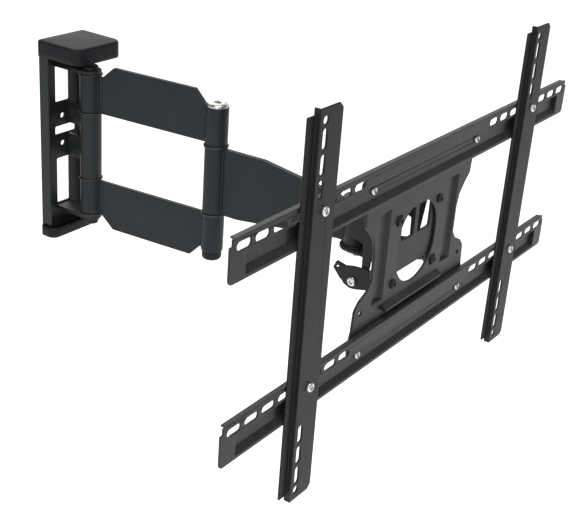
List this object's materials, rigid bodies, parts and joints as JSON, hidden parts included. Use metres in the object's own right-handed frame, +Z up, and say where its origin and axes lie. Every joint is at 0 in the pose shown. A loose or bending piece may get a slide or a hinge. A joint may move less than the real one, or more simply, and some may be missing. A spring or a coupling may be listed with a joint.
{
  "type": "full motion tv wall mount",
  "caption": "Wall plate with a folding steel arm, a swivelling and tilting head, and a wide slotted frame with upright brackets for a flat television.",
  "frame": {"origin": "centre of the wall plate's back face, on the wall", "axes": "+X to the right as seen from the room, +Y into the wall, +Z up"},
  "size_m": [0.7, 0.542, 0.424],
  "materials": {
    "black_steel": "satin",
    "black_plastic": "matte",
    "pale_nylon": "matte",
    "zinc": "satin"
  },
  "bodies": {
    "wall_unit": {"wall_plate": "black_steel", "pivot_bracket": "black_steel", "top_cover": "black_plastic", "bottom_cover": "black_plastic", "wall_pin": "black_steel", "wall_pin_nut": "black_steel", "wall_washers": "black_plastic"},
    "wall_arm": {"upper_strap": "black_steel", "lower_strap": "black_steel", "elbow_bolt": "zinc", "elbow_nut": "zinc", "elbow_cap": "black_plastic", "elbow_washers": "black_plastic"},
    "tv_arm": {"head_arm": "black_steel", "elbow_bushes": "pale_nylon", "head_bushes": "pale_nylon"},
    "head": {"swivel_bracket": "black_steel", "head_bolt": "zinc", "head_nut": "zinc", "head_washers": "black_plastic"},
    "tilt_unit": {"tilt_bracket": "black_steel", "tilt_axles": "zinc", "tilt_axle_nuts": "zinc", "tilt_lock_bolts": "zinc", "tilt_lock_nuts": "zinc", "level_bolts": "black_steel", "level_nuts": "black_steel"},
    "tv_frame": {"centre_plate": "black_steel", "upper_rail": "black_steel", "lower_rail": "black_steel", "rail_bolts": "zinc", "rail_nuts": "zinc"},
    "left_upright": {"left_bracket": "black_steel", "left_bracket_bolts": "zinc", "left_bracket_nuts": "zinc"},
    "right_upright": {"right_bracket": "black_steel", "right_bracket_bolts": "zinc", "right_bracket_nuts": "zinc"}
  },
  "joints": [
    {"name": "wall_swing", "type": "hinge", "parent": "wall_unit", "child": "wall_arm", "pos_m": [0, -0.054, 0], "axis": [0, 0, 1], "range_deg": [-86, 74]},
    {"name": "elbow_swing", "type": "hinge", "parent": "wall_arm", "child": "tv_arm", "pos_m": [0.02007, -0.24495, 0], "axis": [0, 0, -1], "range_deg": [-150, 150]},
    {"name": "head_swivel", "type": "hinge", "parent": "tv_arm", "child": "head", "pos_m": [0.03402, -0.44446, 0], "axis": [0, 0, 1], "range_deg": [-75, 75]},
    {"name": "tilt", "type": "hinge", "parent": "head", "child": "tilt_unit", "pos_m": [0.03402, -0.49646, 0.04], "axis": [1, 0, 0], "range_deg": [-5, 15]},
    {"name": "level", "type": "hinge", "parent": "tilt_unit", "child": "tv_frame", "pos_m": [0.03402, -0.52046, 0.002], "axis": [0, 1, 0], "range_deg": [-3, 3]},
    {"name": "left_bracket_slide", "type": "slide", "parent": "tv_frame", "child": "left_upright", "axis": [1, 0, 0], "range_m": [-0.0108, 0.0028]},
    {"name": "right_bracket_slide", "type": "slide", "parent": "tv_frame", "child": "right_upright", "axis": [1, 0, 0], "range_m": [-0.0128, 0.0008]}
  ]
}
